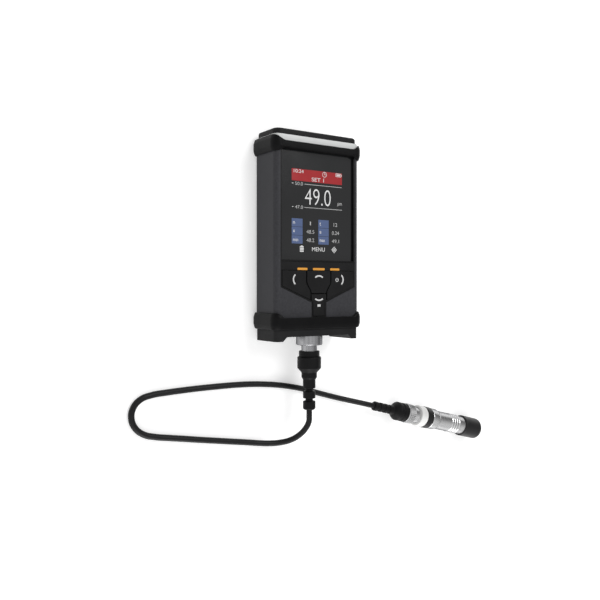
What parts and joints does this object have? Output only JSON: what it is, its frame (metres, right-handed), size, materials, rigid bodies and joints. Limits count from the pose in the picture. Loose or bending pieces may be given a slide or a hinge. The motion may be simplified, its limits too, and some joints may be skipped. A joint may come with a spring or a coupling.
{
  "type": "coating thickness gauge",
  "caption": "Handheld coating thickness gauge with a display, a keypad, rubber bumpers and a light band, lying on its back with its measuring probe on a cord.",
  "frame": {"origin": "centre of the battery cover's outer face, on which the gauge lies", "axes": "+X to the gauge's right, +Y along the gauge towards its top end, +Z out of the display"},
  "size_m": [0.3438, 0.2634, 0.036],
  "materials": {
    "housing": "fine matt texture",
    "bumper_rubber": "matt",
    "light_band": "translucent, satin",
    "end_cap": "fine matt texture",
    "seal": "matt",
    "screw": "plated",
    "window_frame": "gloss",
    "window_glass": "polished, dark backed",
    "display": "gloss",
    "circuit_board": "solder mask",
    "keypad_frame": "satin",
    "keypad_mat": "matt",
    "key": "satin",
    "switch": "matt",
    "battery": "film wrapped",
    "battery_cover": "fine matt texture",
    "emitter": "clear resin",
    "motor": "bare",
    "socket_metal": "satin nickel",
    "nut": "bare",
    "insert": "matt",
    "pin": "gold plated",
    "plug": "matt moulded",
    "cord": "matt",
    "probe_metal": "turned, satin",
    "marker": "satin",
    "probe_plastic": "satin",
    "sensor_metal": "polished",
    "sensor_core": "smooth",
    "spring": "bare wire"
  },
  "bodies": {
    "gauge": {"housing": "housing", "top_bumper": "bumper_rubber", "bottom_bumper": "bumper_rubber", "light_band": "light_band", "top_cap": "end_cap", "bottom_cap": "end_cap", "top_seal": "seal", "bottom_seal": "seal", "top_screws": "screw", "bottom_screws": "screw", "board_screws": "screw", "cover_screws": "screw", "window_frame": "window_frame", "window_glass": "window_glass", "display_module": "display", "main_board": "circuit_board", "light_board": "circuit_board", "probe_board": "circuit_board", "keypad_frame": "keypad_frame", "keypad_mat": "keypad_mat", "key_switches": "switch", "sounder": "switch", "battery_pack": "battery", "battery_cover": "battery_cover", "light_emitters": "emitter", "vibration_motor": "motor", "socket_flange": "socket_metal", "socket_shell": "socket_metal", "socket_nut": "nut", "socket_insert": "insert", "plug_insert": "insert", "socket_pins": "pin", "plug_ring": "plug", "plug_grip": "plug", "probe_boot": "plug", "probe_cord": "cord", "probe_barrel": "probe_metal", "probe_sleeve": "probe_metal", "marker_ring": "marker", "grip_ring": "probe_plastic", "probe_nose": "probe_plastic", "plunger_spring": "spring"},
    "left_key": {"key_left": "key"},
    "up_key": {"key_up": "key"},
    "right_key": {"key_right": "key"},
    "down_key": {"key_down": "key"},
    "sensor": {"sensor_ring": "sensor_metal", "sensor_core": "sensor_core", "probe_tip": "sensor_metal"},
    "coupling": {"coupling_ring": "probe_metal"}
  },
  "joints": [
    {"name": "left_key_press", "type": "slide", "parent": "gauge", "child": "left_key", "axis": [0, 0, -1], "range_m": [0, 0.0007], "stiffness_N_per_m": 1500},
    {"name": "up_key_press", "type": "slide", "parent": "gauge", "child": "up_key", "axis": [0, 0, -1], "range_m": [0, 0.0007], "stiffness_N_per_m": 1500},
    {"name": "right_key_press", "type": "slide", "parent": "gauge", "child": "right_key", "axis": [0, 0, -1], "range_m": [0, 0.0007], "stiffness_N_per_m": 1500},
    {"name": "down_key_press", "type": "slide", "parent": "gauge", "child": "down_key", "axis": [0, 0, -1], "range_m": [0, 0.0007], "stiffness_N_per_m": 1500},
    {"name": "sensor_plunge", "type": "slide", "parent": "gauge", "child": "sensor", "axis": [-0.9659, 0.2588, 0], "range_m": [0, 0.0012], "stiffness_N_per_m": 1500, "deforming": ["plunger_spring"]},
    {"name": "coupling_turn", "type": "hinge", "parent": "gauge", "child": "coupling", "pos_m": [0.11312, -0.15248, 0.0095], "axis": [0.9659, -0.2588, 0], "range_deg": [0, 90]}
  ]
}
